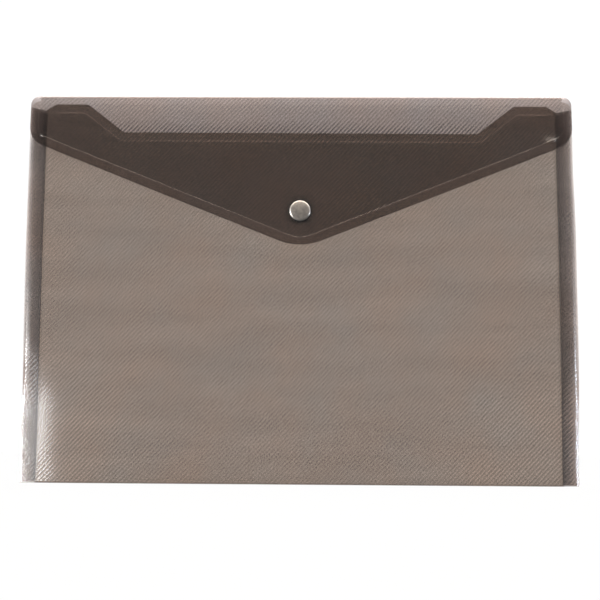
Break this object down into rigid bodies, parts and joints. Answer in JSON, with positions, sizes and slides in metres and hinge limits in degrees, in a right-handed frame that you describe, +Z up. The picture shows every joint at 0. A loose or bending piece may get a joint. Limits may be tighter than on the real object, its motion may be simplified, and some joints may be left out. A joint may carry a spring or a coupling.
{
  "type": "document wallet",
  "caption": "Landscape translucent document wallet with a pointed flap, folded side strips and a round metal snap; the flap and the pocket open on creases.",
  "frame": {"origin": "centre of the bottom of the closed wallet's box, on the surface that it stands on", "axes": "+X along the width, to the right seen from the front; +Y from the front to the back; +Z up"},
  "size_m": [0.333, 0.0122, 0.2355],
  "materials": {
    "smoke_film": "translucent smoke polypropylene film with fine diagonal lines",
    "snap_metal": "satin nickel plate"
  },
  "bodies": {
    "back": {"back_panel": "smoke_film", "bottom_spine": "smoke_film", "gusset_inner_left": "smoke_film", "gusset_inner_right": "smoke_film"},
    "spine": {"top_spine": "smoke_film"},
    "flap": {"flap_panel": "smoke_film", "snap_cap": "snap_metal", "snap_socket": "snap_metal"},
    "front": {"front_panel": "smoke_film", "gusset_outer_left": "smoke_film", "gusset_outer_right": "smoke_film", "snap_stud": "snap_metal", "snap_post": "snap_metal"}
  },
  "joints": [
    {"name": "top_crease_rear", "type": "hinge", "parent": "back", "child": "spine", "pos_m": [0, 0.00595, 0.23535], "axis": [-1, 0, 0], "range_deg": [0, 90]},
    {"name": "top_crease_front", "type": "hinge", "parent": "spine", "child": "flap", "pos_m": [0, -0.00425, 0.23535], "axis": [-1, 0, 0], "range_deg": [0, 90]},
    {"name": "bottom_crease", "type": "hinge", "parent": "back", "child": "front", "pos_m": [0, -0.0015, 0], "axis": [1, 0, 0], "range_deg": [0, 4]}
  ],
  "couplings": [
    {"joint": "top_crease_front", "follows": "top_crease_rear", "ratio": 1},
    {"joint": "bottom_crease", "follows": "top_crease_rear", "ratio": 0.044}
  ]
}
